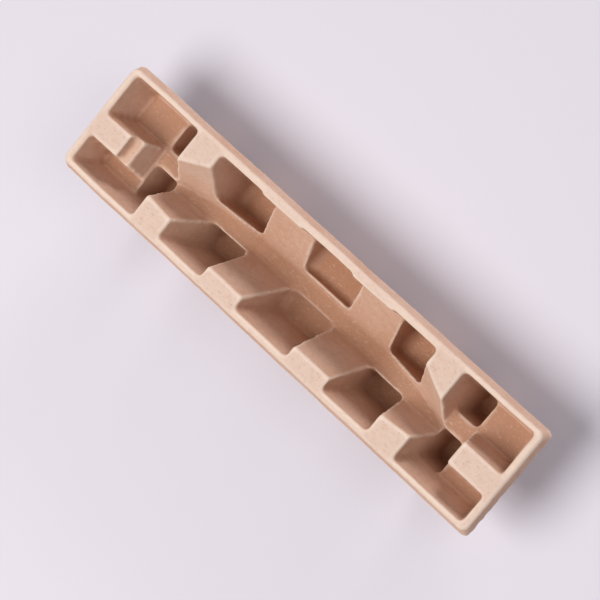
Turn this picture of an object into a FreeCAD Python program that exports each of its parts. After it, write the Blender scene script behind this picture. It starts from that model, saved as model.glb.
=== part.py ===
import FreeCAD, Part
import math
import os

import Sketcher

os.makedirs("parts", exist_ok=True)
doc = FreeCAD.newDocument("insert")

# Sizes in millimetres. Depths are measured down from the rim.
sizes = [
    ("overallHeight", 88.0),
    ("wall", 3.0),
    # rim and the short skirt that flares out below it
    ("rimLength", 544.0),
    ("rimWidth", 112.0),
    ("skirtLength", 550.0),
    ("skirtWidth", 124.0),
    ("skirtDepth", 15.0),
    ("rimCornerRadius", 8.0),
    ("rimEdgeRadius", 2.5),
    # end cells, with the shelf at their bottom
    ("cellInner", 177.0),
    ("cellOuter", 265.0),
    ("cellHalfWidth", 52.5),
    ("shelfDepth", 40.0),
    ("shelfInner", 180.5),
    ("shelfOuter", 255.0),
    ("shelfFront", 40.0),
    ("shelfBack", 47.0),
    ("cellRadius", 4.0),
    # deep slots between the shelf and the end ridge
    ("slotMouthOuter", 212.5),
    ("slotFootInner", 184.0),
    ("slotFootOuter", 203.0),
    ("backSlotMouthFront", 11.5),
    ("backSlotMouthBack", 50.0),
    ("backSlotFootFront", 19.0),
    ("backSlotFootBack", 43.0),
    ("frontSlotMouthFront", 45.5),
    ("frontSlotMouthBack", 0.5),
    ("frontSlotFootFront", 34.0),
    ("frontSlotFootBack", 9.0),
    ("slotRadius", 3.5),
    # rim level tab that reaches in from each end wall, the left one with a lower step
    ("leftTabReach", 229.0),
    ("rightTabReach", 219.0),
    ("tabFront", 20.0),
    ("tabBack", 4.0),
    ("tabFootFront", 26.0),
    ("tabFootBack", 13.0),
    ("leftTabFootReach", 225.0),
    ("rightTabFootReach", 209.5),
    ("stepDepth", 10.0),
    ("stepReach", 217.0),
    ("stepFootReach", 209.5),
    ("stepFront", 22.0),
    ("stepBack", 7.0),
    ("stepFootFront", 25.0),
    ("stepFootBack", 12.0),
    # pockets on the back side of the trough, outer pair and middle one
    ("backPocketInner", 85.0),
    ("backPocketOuter", 144.0),
    ("backPocketFront", 6.5),
    ("backPocketBack", 50.0),
    ("backPocketFootInner", 87.0),
    ("backPocketFootOuter", 133.0),
    ("backPocketFootFront", 12.0),
    ("backPocketFootBack", 42.0),
    ("middleBackHalf", 36.0),
    ("middleBackFootHalf", 30.0),
    ("middleBackFront", 10.0),
    ("middleBackFootFront", 14.0),
    ("middleBackFootBack", 43.0),
    # pockets on the front side of the trough, outer pair and middle one
    ("frontPocketInner", 82.0),
    ("frontPocketOuter", 142.0),
    ("frontPocketFront", 50.5),
    ("frontPocketBack", 4.8),
    ("frontPocketFootInner", 85.0),
    ("frontPocketFootOuter", 125.0),
    ("frontPocketFootFront", 34.0),
    ("frontPocketFootBack", 15.0),
    ("middleFrontHalf", 35.0),
    ("middleFrontFootHalf", 28.0),
    ("middleFrontBack", 1.0),
    ("middleFrontFootFront", 33.0),
    ("middleFrontFootBack", 9.0),
    ("middlePocketDepth", 75.0),
    ("pocketRadius", 4.0),
    ("sweepRadius", 13.0),
    # trough: rim edges, floor edges and the knee of the back slope
    ("troughEnd", 182.0),
    ("endRimFront", 25.5),
    ("endRimBack", 16.0),
    ("endFloorFront", 13.0),
    ("endFloorBack", -5.0),
    ("endFloorDepth", 46.0),
    ("endKneeBack", 5.0),
    ("endKneeDepth", 23.0),
    ("ridgeInner", 137.0),
    ("ridgeRimFront", 30.0),
    ("ridgeRimBack", 37.0),
    ("ridgeFloorFront", 12.5),
    ("ridgeFloorBack", 4.0),
    ("ridgeFloorDepth", 50.0),
    ("ridgeKneeBack", 20.0),
    ("ridgeKneeDepth", 26.0),
    ("middleReach", 85.0),
    ("middleRimFront", 37.5),
    ("middleRimBack", 48.0),
    ("middleFloorFront", 8.0),
    ("middleFloorBack", 7.0),
    ("middleFloorDepth", 67.0),
    ("middleKneeBack", 45.0),
    ("middleKneeDepth", 41.0),
    # how far the underside corners of the trough stand out, in walls
    ("steepCorner", 0.69),
    ("gentleCorner", 0.4),
    ("kneeOut", 0.97),
    ("kneeDown", 0.51),
    # cutting shapes run this far past the faces that they open
    ("clearance", 6.0),
    ("cutOverlap", 0.03),
]
sameSpot = 0.001
sheet = doc.addObject("Spreadsheet::Sheet", "Sizes")
for row, (alias, value) in enumerate(sizes, start=1):
    sheet.set(f"A{row}", alias)
    sheet.set(f"B{row}", str(value))
    sheet.setAlias(f"B{row}", alias)
doc.recompute()


# In the texts below "wall" stands for Sizes.wall, and so on
def bound(text):
    names = {alias for alias, _ in sizes}
    return " ".join("Sizes." + word if word in names else word for word in text.split(" "))


def set_sizes(target, **values):
    for prop, text in values.items():
        target.setExpression(prop, bound(text))


# A drafted block: top and foot are (left, right, front, back) at two levels
def block(name, top, foot, topLevel, footLevel):
    body = doc.addObject("PartDesign::Body", name)
    wedge = body.newObject("PartDesign::AdditiveWedge", name + "Form")
    wedge.Placement = FreeCAD.Placement(FreeCAD.Vector(), FreeCAD.Rotation(FreeCAD.Vector(1, 0, 0), 90))
    set_sizes(
        wedge,
        Xmin=foot[0],
        Xmax=foot[1],
        Zmin=f"-1 * ( {foot[3]} )",
        Zmax=f"-1 * ( {foot[2]} )",
        X2min=top[0],
        X2max=top[1],
        Z2min=f"-1 * ( {top[3]} )",
        Z2max=f"-1 * ( {top[2]} )",
        Ymin=footLevel,
        Ymax=topLevel,
    )
    doc.recompute()
    return body


def level_edges(shape, level):
    found = []
    for number, edge in enumerate(shape.Edges, start=1):
        if all(abs(vertex.Z - level) < sameSpot for vertex in edge.Vertexes):
            found.append(f"Edge{number}")
    return found


def upright_edges(shape, topLevel, footLevel):
    level = set(level_edges(shape, topLevel)) | set(level_edges(shape, footLevel))
    return [f"Edge{number}" for number in range(1, len(shape.Edges) + 1) if f"Edge{number}" not in level]


def round_edges(body, edges, radius, name):
    base = body.Tip
    rounded = body.newObject("PartDesign::Fillet", name)
    rounded.Base = (base, edges)
    set_sizes(rounded, Radius=radius)
    body.Tip = rounded
    doc.recompute()
    return rounded


# Foot edges that run across the tray, at the outer end of a pocket or at both
def sweep_edges(shape, footLevel, ends):
    across = []
    for name in level_edges(shape, footLevel):
        edge = shape.getElement(name)
        start, stop = edge.Vertexes[0], edge.Vertexes[-1]
        if abs(start.X - stop.X) < sameSpot:
            across.append((abs(start.X), name))
    across.sort(reverse=True)
    return [edge for _, edge in (across if ends == "both" else across[:1])]


# Rounds every edge of a block apart from those of its open end
def soften(body, radius, openLevel, footLevel, sweep, ends):
    if ends:
        round_edges(body, sweep_edges(body.Tip.Shape, footLevel, ends), sweep, body.Name + "Sweep")
    shape = body.Tip.Shape
    skipped = set(level_edges(shape, openLevel))
    seams = set()
    for face in shape.Faces:
        if face.Surface.TypeId == "Part::GeomCylinder":
            seams.update(edge.hashCode() for edge in face.Edges if edge.Curve.TypeId == "Part::GeomLine")
    edges = []
    for number, edge in enumerate(shape.Edges, start=1):
        if f"Edge{number}" not in skipped and edge.hashCode() not in seams:
            edges.append(f"Edge{number}")
    return round_edges(body, edges, radius, body.Name + "Rounding")


def flipped(sides):
    return (f"-1 * ( {sides[1]} )", f"-1 * ( {sides[0]} )", sides[2], sides[3])


def grown(sides, text):
    return (
        f"{sides[0]} - {text}",
        f"{sides[1]} + {text}",
        f"{sides[2]} - {text}",
        f"{sides[3]} + {text}",
    )


height = sheet.get("overallHeight")
wall = sheet.get("wall")
hollows = []
shells = []


# One hollow of the moulding and the same hollow one wall larger all round
def hollow(name, top, foot, footLevel, radius, sweptEnds=None):
    space = block(name, top, foot, "overallHeight", footLevel)
    low = min(vertex.Z for vertex in space.Tip.Shape.Vertexes)
    soften(space, radius, height, low, "sweepRadius", sweptEnds)
    hollows.append(space)
    around = block(
        name + "Around",
        grown(top, "wall"),
        grown(foot, "wall"),
        "overallHeight - wall / 2",
        f"{footLevel} - wall",
    )
    soften(around, f"{radius} + wall", height - wall / 2, low - wall, "sweepRadius + wall", sweptEnds)
    shells.append(around)


def both_ends(name, top, foot, footLevel, radius, sweptEnds=None):
    hollow("right" + name, top, foot, footLevel, radius, sweptEnds)
    hollow("left" + name, flipped(top), flipped(foot), footLevel, radius, sweptEnds)


# End cells and their deep slots
both_ends(
    "Cell",
    ("cellInner", "cellOuter", "-1 * cellHalfWidth", "cellHalfWidth"),
    ("shelfInner", "shelfOuter", "-1 * shelfFront", "shelfBack"),
    "overallHeight - shelfDepth",
    "cellRadius",
)
both_ends(
    "BackSlot",
    ("cellInner", "slotMouthOuter", "backSlotMouthFront", "backSlotMouthBack"),
    ("slotFootInner", "slotFootOuter", "backSlotFootFront", "backSlotFootBack"),
    "wall",
    "slotRadius",
)
both_ends(
    "FrontSlot",
    ("cellInner", "slotMouthOuter", "-1 * frontSlotMouthFront", "frontSlotMouthBack"),
    ("slotFootInner", "slotFootOuter", "-1 * frontSlotFootFront", "-1 * frontSlotFootBack"),
    "wall",
    "slotRadius",
)

# Pockets along both sides of the trough
both_ends(
    "BackPocket",
    ("backPocketInner", "backPocketOuter", "backPocketFront", "backPocketBack"),
    ("backPocketFootInner", "backPocketFootOuter", "backPocketFootFront", "backPocketFootBack"),
    "wall",
    "pocketRadius",
    "outer",
)
both_ends(
    "FrontPocket",
    ("frontPocketInner", "frontPocketOuter", "-1 * frontPocketFront", "-1 * frontPocketBack"),
    ("frontPocketFootInner", "frontPocketFootOuter", "-1 * frontPocketFootFront", "-1 * frontPocketFootBack"),
    "wall",
    "pocketRadius",
)
hollow(
    "middleBackPocket",
    ("-1 * middleBackHalf", "middleBackHalf", "middleBackFront", "backPocketBack"),
    ("-1 * middleBackFootHalf", "middleBackFootHalf", "middleBackFootFront", "middleBackFootBack"),
    "overallHeight - middlePocketDepth",
    "pocketRadius",
    "both",
)
hollow(
    "middleFrontPocket",
    ("-1 * middleFrontHalf", "middleFrontHalf", "-1 * frontPocketFront", "-1 * middleFrontBack"),
    ("-1 * middleFrontFootHalf", "middleFrontFootHalf", "-1 * middleFrontFootFront", "-1 * middleFrontFootBack"),
    "overallHeight - middlePocketDepth",
    "pocketRadius",
    "both",
)


# A closed outline of (across, height) corners at one place along the length
def section(name, along, corners):
    sketch = doc.addObject("Sketcher::SketchObject", name)
    turn = FreeCAD.Rotation(FreeCAD.Vector(0, 1, 0), FreeCAD.Vector(0, 0, 1), FreeCAD.Vector(1, 0, 0), "ZXY")
    sketch.Placement = FreeCAD.Placement(FreeCAD.Vector(), turn)
    set_sizes(sketch, **{"Placement.Base.x": along})
    count = len(corners)
    # a rough ring keeps the corners in order before the sizes take hold
    ringRadius = height / 2
    spots = []
    for number in range(count):
        angle = math.pi + 2 * math.pi * number / count
        spots.append(FreeCAD.Vector(ringRadius * math.cos(angle), height + ringRadius * math.sin(angle), 0))
    for number in range(count):
        sketch.addGeometry(Part.LineSegment(spots[number], spots[(number + 1) % count]), False)
    for number in range(count):
        sketch.addConstraint(Sketcher.Constraint("Coincident", number, 2, (number + 1) % count, 1))
    for number in range(count):
        sideways = sketch.addConstraint(Sketcher.Constraint("DistanceX", -1, 1, number, 1, spots[number].x))
        sketch.renameConstraint(sideways, f"across{number}")
        upward = sketch.addConstraint(Sketcher.Constraint("DistanceY", -1, 1, number, 1, spots[number].y))
        sketch.renameConstraint(upward, f"up{number}")
    for number, (across, up) in enumerate(corners):
        set_sizes(sketch, **{f"Constraints.across{number}": across, f"Constraints.up{number}": up})
    return sketch


def trough_corners(place, shell):
    out = "wall" if shell else "0"
    top = "overallHeight - wall / 2" if shell else "overallHeight + clearance"
    return [
        (f"-1 * {place}RimFront - {out}", top),
        (f"-1 * {place}RimFront - {out}", "overallHeight - wall" if shell else "overallHeight"),
        (f"-1 * {place}FloorFront - {out} * steepCorner", f"overallHeight - {place}FloorDepth - {out}"),
        (f"{place}FloorBack + {out} * gentleCorner", f"overallHeight - {place}FloorDepth - {out}"),
        (f"{place}KneeBack + {out} * kneeOut", f"overallHeight - {place}KneeDepth - {out} * kneeDown"),
        (f"{place}RimBack + {out}", "overallHeight - wall" if shell else "overallHeight"),
        (f"{place}RimBack + {out}", top),
    ]


def trough(name, shell):
    places = [("troughEnd", "end"), ("ridgeInner", "ridge"), ("middleReach", "middle")]
    sketches = []
    for along, place in places:
        sketches.append(section(name + "Left" + place.capitalize(), f"-1 * {along}", trough_corners(place, shell)))
    for along, place in reversed(places):
        sketches.append(section(name + "Right" + place.capitalize(), along, trough_corners(place, shell)))
    doc.recompute()
    loft = doc.addObject("Part::Loft", name)
    loft.Sections = sketches
    loft.Solid = True
    loft.Ruled = True
    doc.recompute()
    return loft


hollows.append(trough("trough", False))
shells.append(trough("troughAround", True))


# Tabs stand up in the end cells and are open underneath
def shrunk(sides):
    return (f"{sides[0]} + wall", "cellOuter + clearance", f"{sides[2]} + wall", f"{sides[3]} - wall")


def tab(name, top, foot, level, turned):
    solidEnds = [top, foot]
    spaceEnds = [shrunk(top), shrunk(foot)]
    if turned:
        solidEnds = [flipped(sides) for sides in solidEnds]
        spaceEnds = [flipped(sides) for sides in spaceEnds]
    shelf = "overallHeight - shelfDepth"
    solid = block(name, *solidEnds, level, shelf)
    space = block("under" + name, *spaceEnds, f"{level} - wall", f"{shelf} - wall - cutOverlap")
    return solid, space


tabEnd = "cellOuter + wall / 2"
rightTab, rightSpace = tab(
    "rightTab",
    ("rightTabReach", tabEnd, "-1 * tabFront", "tabBack"),
    ("rightTabFootReach", tabEnd, "-1 * tabFootFront", "tabFootBack"),
    "overallHeight",
    False,
)
leftTab, leftSpace = tab(
    "leftTab",
    ("leftTabReach", tabEnd, "-1 * tabFront", "tabBack"),
    ("leftTabFootReach", tabEnd, "-1 * tabFootFront", "tabFootBack"),
    "overallHeight",
    True,
)
leftStep, stepSpace = tab(
    "leftStep",
    ("stepReach", "leftTabReach", "-1 * stepFront", "stepBack"),
    ("stepFootReach", "leftTabReach", "-1 * stepFootFront", "stepFootBack"),
    "overallHeight - stepDepth",
    True,
)

# Rim plate and skirt
rim = block(
    "rimOutside",
    ("-1 * rimLength / 2", "rimLength / 2", "-1 * rimWidth / 2", "rimWidth / 2"),
    ("-1 * skirtLength / 2", "skirtLength / 2", "-1 * skirtWidth / 2", "skirtWidth / 2"),
    "overallHeight",
    "overallHeight - skirtDepth",
)
skirtFoot = height - sheet.get("skirtDepth")
round_edges(rim, upright_edges(rim.Tip.Shape, height, skirtFoot), "rimCornerRadius", "rimCorners")
round_edges(rim, level_edges(rim.Tip.Shape, height), "rimEdgeRadius", "rimEdge")
under = block(
    "rimInside",
    (
        "-1 * rimLength / 2 + wall",
        "rimLength / 2 - wall",
        "-1 * rimWidth / 2 + wall",
        "rimWidth / 2 - wall",
    ),
    (
        "-1 * skirtLength / 2 + wall",
        "skirtLength / 2 - wall",
        "-1 * skirtWidth / 2 + wall",
        "skirtWidth / 2 - wall",
    ),
    "overallHeight - wall",
    "overallHeight - skirtDepth",
)
round_edges(
    under,
    upright_edges(under.Tip.Shape, height - wall, skirtFoot),
    "rimCornerRadius - wall",
    "rimInsideCorners",
)


def fused(name, members):
    joined = doc.addObject("Part::MultiFuse", name)
    joined.Shapes = members
    doc.recompute()
    return joined


def removed(name, base, tool):
    cut = doc.addObject("Part::Cut", name)
    cut.Base = base
    cut.Tool = tool
    doc.recompute()
    return cut


# The sheet is everything within one wall of a hollow, less the hollows
rimSheet = removed("rimSheet", rim, under)
allShells = fused("allShells", [rimSheet] + shells)
opened = removed("opened", allShells, fused("underTabs", [rightSpace, leftSpace, stepSpace]))
allHollows = fused("allHollows", hollows)
freeSpace = removed("freeSpace", allHollows, fused("tabs", [rightTab, leftTab, leftStep]))
insert = removed("pulpInsert", opened, freeSpace)
insert.Refine = True
insert.Label = "pulp_insert"
doc.recompute()

for item in doc.Objects:
    if "Invalid" in item.State or "Error" in item.State:
        raise RuntimeError(f"{item.Name} did not build")
    if hasattr(item, "Shape") and item.TypeId != "App::Origin":
        if item.isDerivedFrom("App::DatumElement") or item.isDerivedFrom("App::LocalCoordinateSystem"):
            continue
        if item.Shape.isNull() or not item.Shape.isValid():
            raise RuntimeError(f"{item.Name} has no sound shape")

box = insert.Shape.optimalBoundingBox(False, False)
print("solids", len(insert.Shape.Solids), "volume", round(insert.Shape.Volume), "faces", len(insert.Shape.Faces))
print("box", [round(v, 2) for v in (box.XMin, box.YMin, box.ZMin, box.XMax, box.YMax, box.ZMax)])
insert.Shape.exportStep("parts/pulp_insert.step")
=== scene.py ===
import bpy
import bmesh
import numpy as np
from mathutils import Matrix, Vector, noise


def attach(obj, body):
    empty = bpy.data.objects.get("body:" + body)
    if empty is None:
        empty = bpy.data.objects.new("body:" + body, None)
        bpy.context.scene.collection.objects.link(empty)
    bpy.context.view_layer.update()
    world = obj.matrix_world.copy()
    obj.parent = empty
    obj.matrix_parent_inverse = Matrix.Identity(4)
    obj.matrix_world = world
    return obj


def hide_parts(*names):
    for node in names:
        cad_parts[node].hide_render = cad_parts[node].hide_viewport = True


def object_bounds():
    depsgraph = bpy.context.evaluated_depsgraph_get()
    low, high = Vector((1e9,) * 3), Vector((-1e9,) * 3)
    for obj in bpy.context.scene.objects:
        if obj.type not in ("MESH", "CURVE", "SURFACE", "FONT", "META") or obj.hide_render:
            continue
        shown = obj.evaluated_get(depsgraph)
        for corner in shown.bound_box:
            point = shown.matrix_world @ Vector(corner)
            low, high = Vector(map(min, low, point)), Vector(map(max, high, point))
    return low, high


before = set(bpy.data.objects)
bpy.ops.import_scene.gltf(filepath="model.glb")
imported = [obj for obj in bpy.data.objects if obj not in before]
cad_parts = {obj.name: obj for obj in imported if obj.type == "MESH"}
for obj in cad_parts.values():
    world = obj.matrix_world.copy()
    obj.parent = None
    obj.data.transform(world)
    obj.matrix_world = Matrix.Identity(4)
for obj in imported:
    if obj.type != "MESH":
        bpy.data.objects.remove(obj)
cadLow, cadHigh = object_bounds()
print("frame loaded")


# small helpers

def lookAlong(item, place, aim, up):
    # turns a camera or a lamp so that its -Z points at the aim
    back = (Vector(place) - Vector(aim)).normalized()
    right = Vector(up).cross(back).normalized()
    turn = Matrix((right, back.cross(right), back)).transposed().to_4x4()
    item.matrix_world = Matrix.Translation(place) @ turn


def link(item):
    bpy.context.scene.collection.objects.link(item)
    return item


def toLinear(part):
    # one channel of a screen colour, as the linear value that sockets take
    if part <= 0.04045:
        return part / 12.92
    return ((part + 0.055) / 1.055) ** 2.4


def fromHex(code):
    parts = [int(code[at:at + 2], 16) / 255 for at in (0, 2, 4)]
    return [toLinear(part) for part in parts] + [1.0]


def readRows(items, field, width, kind=float):
    # a row of numbers for each item, such as a point's x, y and z
    flat = np.zeros(len(items) * width, dtype=kind)
    items.foreach_get(field, flat)
    return flat.reshape(-1, width)


# shape of the moulded pulp

pulpShape = {
    "weldGap": 0.00001,      # points of the solid's mesh that are closer are one point
    "voxel": 0.0021,         # grid of the even mesh
    "smoothing": 4,          # rounds that take the grid's steps off
    "pull": 0.5,             # share of the way to their neighbours that points go in a round
    "push": -0.53,           # and back out again, so that walls keep their thickness
    "waveHeight": 0.0007,    # the whole sheet dries a little out of true
    "waveLength": 0.055,
    "grainHeight": 0.00016,  # face that lay on the mould
    "grainLength": 0.006,
    "pebbleHeight": 0.0009,  # rough face that the fibres settled on
    "pebbleLength": 0.0052,
    "pebbleReach": 0.45,     # share of its cell at which a pebble's slope crosses zero
    "pebbleSink": 0.25,      # draws the pebbles back to the solid's own face
    "crumbHeight": 0.0005,
    "crumbLength": 0.0026,
    "sideChange": 4,         # how quickly the mould's face gives way to the rough one
    "turnRounds": 4,         # how far around a point the turn of the surface is read
    "turnDepth": 0.0012,     # height over the surroundings that counts as 1
}
fieldStep = (7.3, 3.1, 5.7)  # sets the seeded noise fields apart


def evenMesh(source, name, shape):
    # welds the solid's own mesh, then remakes it as an even grid of small faces
    mesh = source.data.copy()
    form = bmesh.new()
    form.from_mesh(mesh)
    bmesh.ops.remove_doubles(form, verts=form.verts, dist=shape["weldGap"])
    form.to_mesh(mesh)
    form.free()
    mesh.materials.clear()
    item = link(bpy.data.objects.new(name, mesh))
    grid = item.modifiers.new("grid", "REMESH")
    grid.mode = "VOXEL"
    grid.voxel_size = shape["voxel"]
    settle(item)
    return item


def settle(item):
    # makes the modifiers' result the mesh
    graph = bpy.context.evaluated_depsgraph_get()
    made = bpy.data.meshes.new_from_object(item.evaluated_get(graph))
    item.modifiers.clear()
    item.data = made


def neighbourMean(values, edges):
    # mean of what the joined points hold
    count = len(values)
    shares = np.bincount(edges.ravel(), minlength=count)
    total = np.zeros_like(values)
    for axis in range(values.shape[1]):
        for here, there in ((0, 1), (1, 0)):
            held = values[edges[:, there], axis]
            total[:, axis] += np.bincount(edges[:, here], weights=held, minlength=count)
    return total / np.maximum(shares, 1)[:, None]


def smoothPoints(points, edges, shape):
    for _ in range(shape["smoothing"]):
        for strength in (shape["pull"], shape["push"]):
            points = points + strength * (neighbourMean(points, edges) - points)
    return points


def fieldShift(seed):
    return Vector([seed * step for step in fieldStep])


def ripple(points, length, seed):
    # soft ups and downs about zero
    shift = fieldShift(seed)
    return np.array([noise.noise(Vector(point) / length + shift) for point in points])


def cellDistance(points, length, seed):
    # distance to the middle of the nearest cell, where a pebble is highest
    shift = fieldShift(seed)
    return np.array([noise.voronoi(Vector(point) / length + shift)[0][0] for point in points])


def backShare(normals, shape):
    # 0 on the open side of the sheet, 1 on its back
    return np.clip(0.5 - normals[:, 2] * shape["sideChange"], 0, 1)


def roughPoints(points, normals, shape):
    # the sheet's waves, the grain of its open side and the pebbles and crumbs of its back
    back = backShare(normals, shape)
    wave = np.stack([ripple(points, shape["waveLength"], seed) for seed in (1, 2, 3)], axis=1)
    grain = shape["grainHeight"] * ripple(points, shape["grainLength"], 4)
    pebble = shape["pebbleReach"] - cellDistance(points, shape["pebbleLength"], 5)
    pebble = shape["pebbleHeight"] * (pebble - shape["pebbleSink"])
    crumb = shape["crumbHeight"] * ripple(points, shape["crumbLength"], 6)
    rise = grain * (1 - back) + (pebble + crumb) * back
    points = points + wave * shape["waveHeight"] + normals * rise[:, None]
    return np.clip(points, np.array(cadLow), np.array(cadHigh))


def surfaceTurn(points, normals, edges, shape):
    # above zero on edges that stand out, below zero in inner corners
    around = points
    for _ in range(shape["turnRounds"]):
        around = neighbourMean(around, edges)
    return np.einsum("ij,ij->i", points - around, normals) / shape["turnDepth"]


def movePoints(mesh, points):
    mesh.vertices.foreach_set("co", points.ravel())
    mesh.update()


def keepReading(mesh, name, values):
    # a value at each point, for the finish
    layer = mesh.attributes.new(name, "FLOAT", "POINT")
    layer.data.foreach_set("value", values.astype(np.float32))


def buildPulp(shape):
    item = evenMesh(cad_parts["pulp_insert"], "mouldedPulp", shape)
    mesh = item.data
    edges = readRows(mesh.edges, "vertices", 2, np.int64)
    points = smoothPoints(readRows(mesh.vertices, "co", 3), edges, shape)
    movePoints(mesh, points)
    print("pulp sheet smoothed,", len(points), "points")

    normals = readRows(mesh.vertex_normals, "vector", 3)
    movePoints(mesh, roughPoints(points, normals, shape))
    mesh.polygons.foreach_set("use_smooth", [True] * len(mesh.polygons))

    points = readRows(mesh.vertices, "co", 3)
    normals = readRows(mesh.vertex_normals, "vector", 3)
    keepReading(mesh, "backFace", backShare(normals, shape))
    keepReading(mesh, "edgeTurn", surfaceTurn(points, normals, edges, shape))
    print("pulp sheet has", sum(len(face.vertices) - 2 for face in mesh.polygons), "triangles")
    return item


# finish of the moulded pulp

pulpFinish = {
    "dry": "D3B09B",       # plain dried pulp
    "deep": "BE8E70",      # where more brown fibre settled
    "low": "A87A5E",       # painted shade: darker low in the hollows, on their floors and in inner corners
    "top": "DAC0B1",       # painted highlight: faces at rim level painted paler, as if lit face-on
    "wearAndHighlight": "EBD6C4",      # rubbed edges, partly real wear and partly a painted highlight
    "fleck": "8A6246",     # darker fibres
    "pale": "EBD2BD",      # paler fibres
    "roughness": 0.93,
    "shine": 0.25,
    "feltStrength": 0.35,
    "fibreSqueeze": (0.25, 1.0, 1.0),   # draws specks out to fibres, in the direction of their turn
    "noise": {
        "mottle": {"scale": 22, "detail": 5, "grit": 0.6},
        "cloud": {"scale": 160, "detail": 4, "grit": 0.6},
        "fleck": {"scale": 900, "detail": 2, "grit": 0.5, "turn": (0.4, 0.2, 0.7)},
        "pale": {"scale": 900, "detail": 2, "grit": 0.5, "turn": (1.2, 0.9, 2.2)},
        "felt": {"scale": 630, "detail": 3, "grit": 0.6, "depth": 0.0006},
        "crumbs": {"scale": 420, "detail": 3, "grit": 0.55, "depth": 0.0012},
    },
    # where each band starts and ends, and the most that it gives
    "bands": {
        "mottle": (0.35, 0.75, 0.45),
        "low": (0.06, 0.0, 0.65),          # painted shade, darker towards the feet: heights over the feet
        "floorShade": (0.072, 0.045, 0.75),   # painted shade on faces that look up: the same heights, for those faces
        "upward": (0.74, 1.0, 1.0),        # upward part of a face's direction, which picks the faces for the painted shade
        "top": (-0.004, -0.001, 0.85),     # heights from the top of the rim, where the paler colour is painted as a highlight
        "cloud": (0.45, 0.8, 0.35),
        "fleck": (0.6, 0.74, 0.35),
        "pale": (0.58, 0.74, 0.3),
        "wearAndHighlight": (0.15, 0.9, 0.7),          # edges that stand out, painted paler as wear and partly as a highlight
        "corner": (-0.1, -0.8, 0.7),       # inner corners, where shade is painted darker
        "crumbs": (0.2, 0.9, 0.8),         # back of the sheet
    },
}


def pulpMaterial(look):
    material = bpy.data.materials.new("mouldedPulpFinish")
    material.use_nodes = True
    tree = material.node_tree
    shader = tree.nodes["Principled BSDF"]
    shader.inputs["Roughness"].default_value = look["roughness"]
    shader.inputs["Specular IOR Level"].default_value = look["shine"]
    place = tree.nodes.new("ShaderNodeTexCoord").outputs["Object"]

    def connect(start, end):
        tree.links.new(start, end)

    def texture(name):
        kind = look["noise"][name]
        node = tree.nodes.new("ShaderNodeTexNoise")
        node.inputs["Scale"].default_value = kind["scale"]
        node.inputs["Detail"].default_value = kind["detail"]
        node.inputs["Roughness"].default_value = kind["grit"]
        source = place
        if "turn" in kind:
            squeeze = tree.nodes.new("ShaderNodeMapping")
            squeeze.inputs["Rotation"].default_value = kind["turn"]
            squeeze.inputs["Scale"].default_value = look["fibreSqueeze"]
            connect(place, squeeze.inputs["Vector"])
            source = squeeze.outputs["Vector"]
        connect(source, node.inputs["Vector"])
        return node.outputs["Fac"]

    def band(name, value, base=0.0):
        low, high, most = look["bands"][name]
        node = tree.nodes.new("ShaderNodeMapRange")
        node.interpolation_type = "SMOOTHSTEP"
        node.inputs["From Min"].default_value = base + low
        node.inputs["From Max"].default_value = base + high
        node.inputs["To Max"].default_value = most
        connect(value, node.inputs["Value"])
        return node.outputs["Result"]

    def speckle(name):
        return band(name, texture(name))

    def product(first, second):
        node = tree.nodes.new("ShaderNodeMath")
        node.operation = "MULTIPLY"
        connect(first, node.inputs[0])
        connect(second, node.inputs[1])
        return node.outputs[0]

    def paint(under, colour, amount):
        node = tree.nodes.new("ShaderNodeMix")
        node.data_type = "RGBA"
        if under is None:
            node.inputs["A"].default_value = fromHex(look["dry"])
        else:
            connect(under, node.inputs["A"])
        node.inputs["B"].default_value = fromHex(look[colour])
        connect(amount, node.inputs["Factor"])
        return node.outputs["Result"]

    def reading(name):
        node = tree.nodes.new("ShaderNodeAttribute")
        node.attribute_name = name
        return node.outputs["Fac"]

    def heightOf(value):
        node = tree.nodes.new("ShaderNodeSeparateXYZ")
        connect(value, node.inputs["Vector"])
        return node.outputs["Z"]

    def bump(name):
        node = tree.nodes.new("ShaderNodeBump")
        node.inputs["Distance"].default_value = look["noise"][name]["depth"]
        connect(texture(name), node.inputs["Height"])
        return node

    level = heightOf(place)
    upward = heightOf(tree.nodes.new("ShaderNodeNewGeometry").outputs["Normal"])
    turn = reading("edgeTurn")
    coats = (
        ("deep", speckle("mottle")),
        # painted shade, darker towards the feet of the hollows
        ("low", band("low", level)),
        # painted shade on low faces that look up
        ("low", product(band("upward", upward), band("floorShade", level))),
        # painted highlight on faces at rim level
        ("top", band("top", level, cadHigh.z)),
        ("deep", speckle("cloud")),
        ("fleck", speckle("fleck")),
        ("pale", speckle("pale")),
        # rubbed edges, painted paler, partly as a highlight
        ("wearAndHighlight", band("wearAndHighlight", turn)),
        # painted shade in inner corners
        ("low", band("corner", turn)),
    )
    colour = None
    for name, amount in coats:
        colour = paint(colour, name, amount)
    connect(colour, shader.inputs["Base Color"])

    # fine felt everywhere, coarser crumbs on the back of the sheet
    felt = bump("felt")
    felt.inputs["Strength"].default_value = look["feltStrength"]
    crumbs = bump("crumbs")
    connect(band("crumbs", reading("backFace")), crumbs.inputs["Strength"])
    connect(felt.outputs["Normal"], crumbs.inputs["Normal"])
    connect(crumbs.outputs["Normal"], shader.inputs["Normal"])
    return material


pulp = buildPulp(pulpShape)
pulp.data.materials.append(pulpMaterial(pulpFinish))
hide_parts("pulp_insert")
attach(pulp, "root")
print("pulp finished")


# floor, lamps and camera

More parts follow.
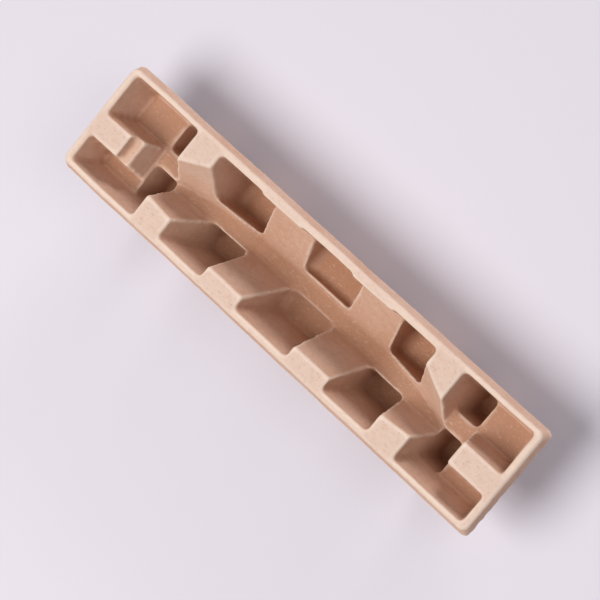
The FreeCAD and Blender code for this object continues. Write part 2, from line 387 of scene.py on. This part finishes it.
studio = {
    "floorColour": "DAD5DE",
    "floorRoughness": 0.8,
    "floorHalf": 6.0,
    "skyColour": (0.93, 0.94, 1.0, 1.0),
    "skyStrength": 0.22,
    "lampAim": (0.0, 0.0, 0.05),
    "lamps": {
        "key": {"place": (-0.42, -1.15, 2.45), "size": 1.8, "power": 67, "colour": (1.0, 0.98, 0.96)},
        "fill": {"place": (1.7, 0.9, 2.0), "size": 1.6, "power": 11, "colour": (1.0, 0.99, 1.0)},
        "side": {"place": (-0.4, 2.8, 0.62), "size": 1.0, "power": 44, "colour": (1.0, 0.97, 0.98)},
    },
}


def buildFloor(setting):
    half = setting["floorHalf"]
    corners = [(-half, -half, 0), (half, -half, 0), (half, half, 0), (-half, half, 0)]
    mesh = bpy.data.meshes.new("floor")
    mesh.from_pydata(corners, [], [range(len(corners))])
    floor = link(bpy.data.objects.new("floor", mesh))
    material = bpy.data.materials.new("paleFloor")
    material.use_nodes = True
    shader = material.node_tree.nodes["Principled BSDF"]
    shader.inputs["Base Color"].default_value = fromHex(setting["floorColour"])
    shader.inputs["Roughness"].default_value = setting["floorRoughness"]
    mesh.materials.append(material)


def buildLamp(name, setting, aim):
    lamp = bpy.data.lights.new(name, "AREA")
    lamp.shape = "DISK"
    lamp.size = setting["size"]
    lamp.energy = setting["power"]
    lamp.color = setting["colour"]
    lookAlong(link(bpy.data.objects.new(name, lamp)), setting["place"], aim, (0, 0, 1))


def buildSky(setting):
    world = bpy.data.worlds.new("sky")
    bpy.context.scene.world = world
    world.use_nodes = True
    back = world.node_tree.nodes["Background"]
    back.inputs["Color"].default_value = setting["skyColour"]
    back.inputs["Strength"].default_value = setting["skyStrength"]


buildFloor(studio)
for lampName, lampSetting in studio["lamps"].items():
    buildLamp(lampName, lampSetting, studio["lampAim"])
buildSky(studio)

view = {
    "place": (0.923, 0.356, 2.424),
    "aim": (0.0, -0.006, 0.06),
    "up": (-0.639, 0.762, 0.109),
    "lens": 165.0,           # the photograph's own 54 mm, drawn in to the part
    "sensor": 36.0,
}
camera = link(bpy.data.objects.new("camera", bpy.data.cameras.new("camera")))
camera.data.lens = view["lens"]
camera.data.sensor_width = view["sensor"]
lookAlong(camera, view["place"], view["aim"], view["up"])
bpy.context.scene.camera = camera
bpy.context.scene.view_settings.view_transform = "Standard"
print("studio ready")
